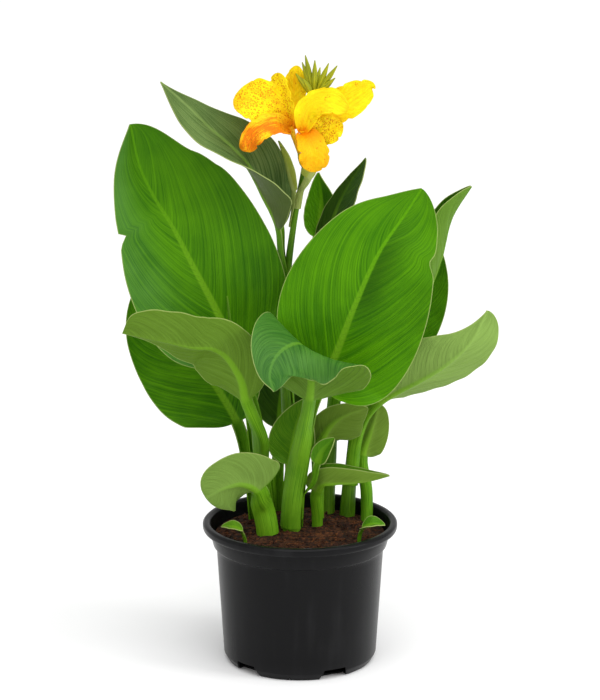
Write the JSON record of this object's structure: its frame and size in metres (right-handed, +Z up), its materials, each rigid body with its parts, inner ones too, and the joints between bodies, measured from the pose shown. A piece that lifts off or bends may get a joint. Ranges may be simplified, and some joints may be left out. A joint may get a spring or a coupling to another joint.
{
  "type": "potted canna lily",
  "caption": "A flowering canna lily with broad sheathing leaves, yellow blooms and a bud cluster, standing in soil in a black round nursery pot",
  "frame": {"origin": "centre of the pot's round foot pad, on the ground", "axes": "+Z is up along the pot's axis, -Y is the front of the plant, +X is the plant's right seen from the front"},
  "size_m": [0.3668, 0.2176, 0.5931],
  "materials": {
    "pot_plastic": "satin black moulded",
    "soil": "moist crumbly peat",
    "leaf": "smooth, slightly waxy leaf",
    "stem": "smooth, finely ribbed",
    "bract": "pale bloomed green",
    "petal": "soft petal with fine speckles",
    "bud": "smooth bud"
  },
  "bodies": {
    "root": {"bloom_left": "petal", "bloom_right": "petal", "bract": "bract", "bract_left": "bract", "buds": "bud", "leaf_back_dark": "leaf", "leaf_centre_back": "leaf", "leaf_centre_left": "leaf", "leaf_centre_right": "leaf", "leaf_front_folded": "leaf", "leaf_ground_left": "leaf", "leaf_ground_right": "leaf", "leaf_left_arched": "leaf", "leaf_left_great": "leaf", "leaf_left_low": "leaf", "leaf_paddle": "leaf", "leaf_right_back": "leaf", "leaf_right_great": "leaf", "leaf_right_low": "leaf", "leaf_right_rolled": "leaf", "leaf_right_round": "leaf", "leaf_small_pointed": "leaf", "leaf_small_upright": "leaf", "leaf_top_back": "leaf", "leaf_top_left": "leaf", "ovary_left": "bud", "ovary_right": "bud", "pot": "pot_plastic", "soil": "soil", "stem_back": "stem", "stem_flowering": "stem", "stem_front": "stem", "stem_left": "stem", "stem_right": "stem", "stem_small": "stem"}
  },
  "joints": []
}
